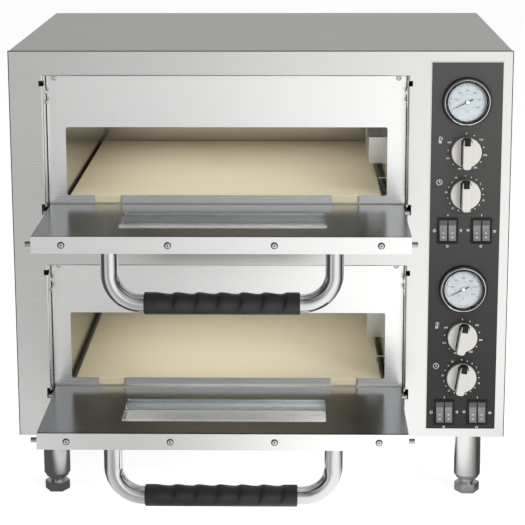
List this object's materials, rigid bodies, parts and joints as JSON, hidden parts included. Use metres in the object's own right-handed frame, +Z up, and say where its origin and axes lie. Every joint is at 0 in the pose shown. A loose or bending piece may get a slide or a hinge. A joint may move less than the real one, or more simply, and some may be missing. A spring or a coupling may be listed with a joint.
{
  "type": "countertop pizza oven",
  "caption": "Stainless countertop pizza oven with stacked baking chambers, drop-down glazed doors and a control panel on the right.",
  "frame": {"origin": "on the resting plane, under the middle of the object's box with both doors open", "axes": "+Z up, -Y out of the front where the doors open, +X towards the control panel"},
  "size_m": [0.711, 0.7218, 0.668],
  "materials": {
    "brushed_steel": "satin, fine straight grain",
    "polished_steel": "bright polish",
    "galvanised_sheet": "plain sheet",
    "panel_grey": "dark grey satin with a fine grain",
    "baking_stone": "matt cream",
    "element_sheath": "heat-darkened",
    "mineral_wool": "fibrous",
    "lamp_glass": "frosted",
    "chrome": "mirror bright",
    "dial_face": "matt pale blue grey",
    "clear_glass": "clear",
    "bakelite": "moulded",
    "black_plastic": "moulded, semi-gloss",
    "screw_steel": "turned, bright",
    "grip_rubber": "matt moulded",
    "knob_plastic": "satin off-white",
    "needle_black": "matt",
    "rocker_plastic": "smoked"
  },
  "bodies": {
    "cabinet": {"outer_cover": "brushed_steel", "front_frame": "brushed_steel", "back_panel": "brushed_steel", "base_pan": "galvanised_sheet", "control_panel": "panel_grey", "partition_wall": "galvanised_sheet", "upper_face_plate": "polished_steel", "lower_face_plate": "polished_steel", "upper_chamber": "polished_steel", "lower_chamber": "polished_steel", "upper_stone": "baking_stone", "lower_stone": "baking_stone", "heating_elements": "element_sheath", "insulation_blocks": "mineral_wool", "lamp_guards": "polished_steel", "oven_lamps": "lamp_glass", "sensor_bulbs": "polished_steel", "sensor_clips": "polished_steel", "gauge_cases": "chrome", "gauge_dials": "dial_face", "gauge_lenses": "clear_glass", "thermostats": "bakelite", "timers": "bakelite", "switch_housings": "black_plastic", "leg_tubes": "brushed_steel", "cabinet_screws": "screw_steel", "door_catches": "screw_steel", "power_gland": "black_plastic"},
    "lower_door": {"lower_door_pan": "polished_steel", "lower_door_liner": "polished_steel", "lower_door_glass": "clear_glass", "lower_door_handle": "chrome", "lower_handle_grip": "grip_rubber", "lower_door_pins": "screw_steel", "lower_door_screws": "screw_steel"},
    "upper_door": {"upper_door_pan": "polished_steel", "upper_door_liner": "polished_steel", "upper_door_glass": "clear_glass", "upper_door_handle": "chrome", "upper_handle_grip": "grip_rubber", "upper_door_pins": "screw_steel", "upper_door_screws": "screw_steel"},
    "lower_temperature_knob": {"lower_temperature_knob": "knob_plastic"},
    "lower_timer_knob": {"lower_timer_knob": "knob_plastic"},
    "lower_power_rocker": {"lower_power_rocker": "rocker_plastic"},
    "lower_lamp_rocker": {"lower_lamp_rocker": "rocker_plastic"},
    "lower_top_heat_rocker": {"lower_top_heat_rocker": "rocker_plastic"},
    "lower_stone_heat_rocker": {"lower_stone_heat_rocker": "rocker_plastic"},
    "lower_gauge_needle": {"lower_gauge_needle": "needle_black"},
    "upper_temperature_knob": {"upper_temperature_knob": "knob_plastic"},
    "upper_timer_knob": {"upper_timer_knob": "knob_plastic"},
    "upper_power_rocker": {"upper_power_rocker": "rocker_plastic"},
    "upper_lamp_rocker": {"upper_lamp_rocker": "rocker_plastic"},
    "upper_top_heat_rocker": {"upper_top_heat_rocker": "rocker_plastic"},
    "upper_stone_heat_rocker": {"upper_stone_heat_rocker": "rocker_plastic"},
    "upper_gauge_needle": {"upper_gauge_needle": "needle_black"},
    "front_left_foot": {"front_left_foot": "screw_steel"},
    "front_right_foot": {"front_right_foot": "screw_steel"},
    "back_left_foot": {"back_left_foot": "screw_steel"},
    "back_right_foot": {"back_right_foot": "screw_steel"}
  },
  "joints": [
    {"name": "lower_door_hinge", "type": "hinge", "parent": "cabinet", "child": "lower_door", "pos_m": [-0.049, -0.1616, 0.1565], "axis": [-1, 0, 0], "range_deg": [0, 90]},
    {"name": "upper_door_hinge", "type": "hinge", "parent": "cabinet", "child": "upper_door", "pos_m": [-0.049, -0.1616, 0.4315], "axis": [-1, 0, 0], "range_deg": [0, 90]},
    {"name": "lower_temperature_turn", "type": "hinge", "parent": "cabinet", "child": "lower_temperature_knob", "pos_m": [0.2915, -0.1756, 0.2525], "axis": [0, 1, 0], "range_deg": [0, 300]},
    {"name": "lower_timer_turn", "type": "hinge", "parent": "cabinet", "child": "lower_timer_knob", "pos_m": [0.2915, -0.1756, 0.1915], "axis": [0, 1, 0], "range_deg": [0, 330]},
    {"name": "lower_power_rock", "type": "hinge", "parent": "cabinet", "child": "lower_power_rocker", "pos_m": [0.2611, -0.1738, 0.138], "axis": [1, 0, 0], "range_deg": [0, 18]},
    {"name": "lower_lamp_rock", "type": "hinge", "parent": "cabinet", "child": "lower_lamp_rocker", "pos_m": [0.2739, -0.1738, 0.138], "axis": [1, 0, 0], "range_deg": [0, 18]},
    {"name": "lower_top_heat_rock", "type": "hinge", "parent": "cabinet", "child": "lower_top_heat_rocker", "pos_m": [0.3091, -0.1738, 0.138], "axis": [1, 0, 0], "range_deg": [0, 18]},
    {"name": "lower_stone_heat_rock", "type": "hinge", "parent": "cabinet", "child": "lower_stone_heat_rocker", "pos_m": [0.3219, -0.1738, 0.138], "axis": [1, 0, 0], "range_deg": [0, 18]},
    {"name": "lower_needle_turn", "type": "hinge", "parent": "cabinet", "child": "lower_gauge_needle", "pos_m": [0.2915, -0.1765, 0.324], "axis": [0, 1, 0], "range_deg": [0, 234]},
    {"name": "upper_temperature_turn", "type": "hinge", "parent": "cabinet", "child": "upper_temperature_knob", "pos_m": [0.2915, -0.1756, 0.5245], "axis": [0, 1, 0], "range_deg": [0, 300]},
    {"name": "upper_timer_turn", "type": "hinge", "parent": "cabinet", "child": "upper_timer_knob", "pos_m": [0.2915, -0.1756, 0.4635], "axis": [0, 1, 0], "range_deg": [0, 330]},
    {"name": "upper_power_rock", "type": "hinge", "parent": "cabinet", "child": "upper_power_rocker", "pos_m": [0.2611, -0.1738, 0.41], "axis": [1, 0, 0], "range_deg": [0, 18]},
    {"name": "upper_lamp_rock", "type": "hinge", "parent": "cabinet", "child": "upper_lamp_rocker", "pos_m": [0.2739, -0.1738, 0.41], "axis": [1, 0, 0], "range_deg": [0, 18]},
    {"name": "upper_top_heat_rock", "type": "hinge", "parent": "cabinet", "child": "upper_top_heat_rocker", "pos_m": [0.3091, -0.1738, 0.41], "axis": [1, 0, 0], "range_deg": [0, 18]},
    {"name": "upper_stone_heat_rock", "type": "hinge", "parent": "cabinet", "child": "upper_stone_heat_rocker", "pos_m": [0.3219, -0.1738, 0.41], "axis": [1, 0, 0], "range_deg": [0, 18]},
    {"name": "upper_needle_turn", "type": "hinge", "parent": "cabinet", "child": "upper_gauge_needle", "pos_m": [0.2915, -0.1765, 0.596], "axis": [0, 1, 0], "range_deg": [0, 234]},
    {"name": "front_left_foot_screw", "type": "slide", "parent": "cabinet", "child": "front_left_foot", "axis": [0, 0, -1], "range_m": [0, 0.02]},
    {"name": "front_right_foot_screw", "type": "slide", "parent": "cabinet", "child": "front_right_foot", "axis": [0, 0, -1], "range_m": [0, 0.02]},
    {"name": "back_left_foot_screw", "type": "slide", "parent": "cabinet", "child": "back_left_foot", "axis": [0, 0, -1], "range_m": [0, 0.02]},
    {"name": "back_right_foot_screw", "type": "slide", "parent": "cabinet", "child": "back_right_foot", "axis": [0, 0, -1], "range_m": [0, 0.02]}
  ]
}
